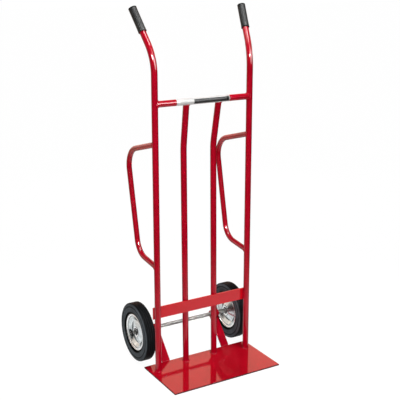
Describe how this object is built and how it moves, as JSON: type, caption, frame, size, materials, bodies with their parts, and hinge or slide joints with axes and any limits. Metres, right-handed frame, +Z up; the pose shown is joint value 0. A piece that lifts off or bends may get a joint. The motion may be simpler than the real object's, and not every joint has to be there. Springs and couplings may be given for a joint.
{
  "type": "sack truck",
  "caption": "Upright sack truck: welded red tube frame with toe plate, back-swept gripped handles, rear carrying loops and solid tyred wheels on a fixed axle.",
  "frame": {"origin": "on the floor under the middle of the frame, in the plane of the uprights' axes, on the toe plate's underside", "axes": "+X to the right seen from the toe plate side, +Y backwards from the toe plate to the wheels, +Z up the uprights"},
  "size_m": [0.5188, 0.484, 1.4711],
  "materials": {
    "red_paint": "glossy crimson stove enamel",
    "zinc_plate": "bright zinc plate",
    "bright_steel": "bright drawn bar",
    "dark_steel": "oiled dark steel",
    "tyre_rubber": "moulded black rubber",
    "grip_rubber": "matt dark grey rubber"
  },
  "bodies": {
    "frame": {"toe_plate": "red_paint", "left_upright": "red_paint", "right_upright": "red_paint", "left_grip": "grip_rubber", "right_grip": "grip_rubber", "top_cross_tube": "red_paint", "left_inner_tube": "red_paint", "right_inner_tube": "red_paint", "lower_cross_strap": "red_paint", "left_rear_loop": "red_paint", "right_rear_loop": "red_paint", "left_axle_stay": "red_paint", "right_axle_stay": "red_paint", "axle": "bright_steel", "left_axle_sleeve": "bright_steel", "left_inner_washer": "zinc_plate", "left_outer_washer": "zinc_plate", "left_split_pin": "bright_steel", "left_inner_bearing_cone": "zinc_plate", "left_outer_bearing_cone": "zinc_plate", "right_axle_sleeve": "bright_steel", "right_inner_washer": "zinc_plate", "right_outer_washer": "zinc_plate", "right_split_pin": "bright_steel", "right_inner_bearing_cone": "zinc_plate", "right_outer_bearing_cone": "zinc_plate"},
    "left_wheel": {"left_tyre": "tyre_rubber", "left_rim": "zinc_plate", "left_inner_disc": "zinc_plate", "left_outer_disc": "zinc_plate", "left_hub_tube": "zinc_plate", "left_inner_bearing_cup": "zinc_plate", "left_outer_bearing_cup": "zinc_plate", "left_inner_bearing_balls": "dark_steel", "left_outer_bearing_balls": "dark_steel"},
    "right_wheel": {"right_tyre": "tyre_rubber", "right_rim": "zinc_plate", "right_inner_disc": "zinc_plate", "right_outer_disc": "zinc_plate", "right_hub_tube": "zinc_plate", "right_inner_bearing_cup": "zinc_plate", "right_outer_bearing_cup": "zinc_plate", "right_inner_bearing_balls": "dark_steel", "right_outer_bearing_balls": "dark_steel"}
  },
  "joints": [
    {"name": "left_wheel_spin", "type": "hinge", "parent": "frame", "child": "left_wheel", "pos_m": [-0.228, 0.1545, 0.125], "axis": [1, 0, 0], "continuous": true},
    {"name": "right_wheel_spin", "type": "hinge", "parent": "frame", "child": "right_wheel", "pos_m": [0.228, 0.1545, 0.125], "axis": [1, 0, 0], "continuous": true}
  ]
}
